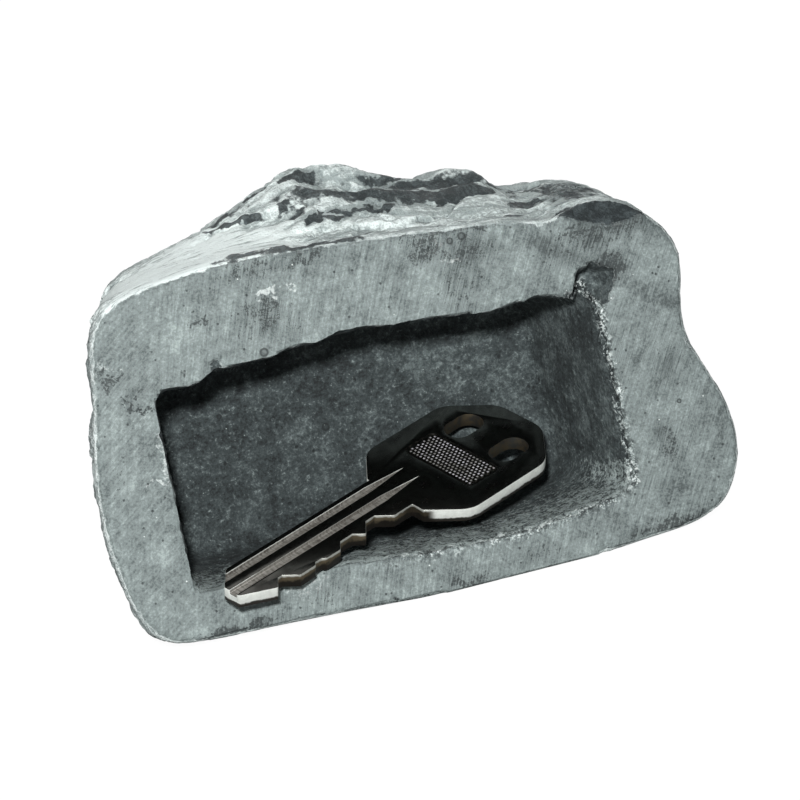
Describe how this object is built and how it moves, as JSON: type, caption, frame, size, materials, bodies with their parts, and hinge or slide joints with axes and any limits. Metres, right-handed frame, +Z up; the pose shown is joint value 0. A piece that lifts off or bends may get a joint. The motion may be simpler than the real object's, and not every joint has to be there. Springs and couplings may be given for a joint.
{
  "type": "hide-a-key rock",
  "caption": "Cast stone-effect rock with an open recess in its cut base, and a house key lying loose in the recess.",
  "frame": {"origin": "middle of the whole part's outline on the surface that it lies on", "axes": "+X along the rock and its recess, +Z up, -Y to the front, where the cut base and the recess look out, leaning back 8 degrees"},
  "size_m": [0.0928, 0.0486, 0.0584],
  "materials": {
    "cast_stone": "stone-filled resin: painted rough outside, sanded cut face, dark rough recess",
    "nickel_plate": "polished nickel plate over brass, worn at the edges"
  },
  "bodies": {
    "rock": {"rock_body": "cast_stone"},
    "key": {"key": "nickel_plate"}
  },
  "joints": [
    {"name": "key_lift_out", "type": "slide", "parent": "rock", "child": "key", "axis": [0, -0.9903, 0.1392], "range_m": [0, 0.045]}
  ]
}
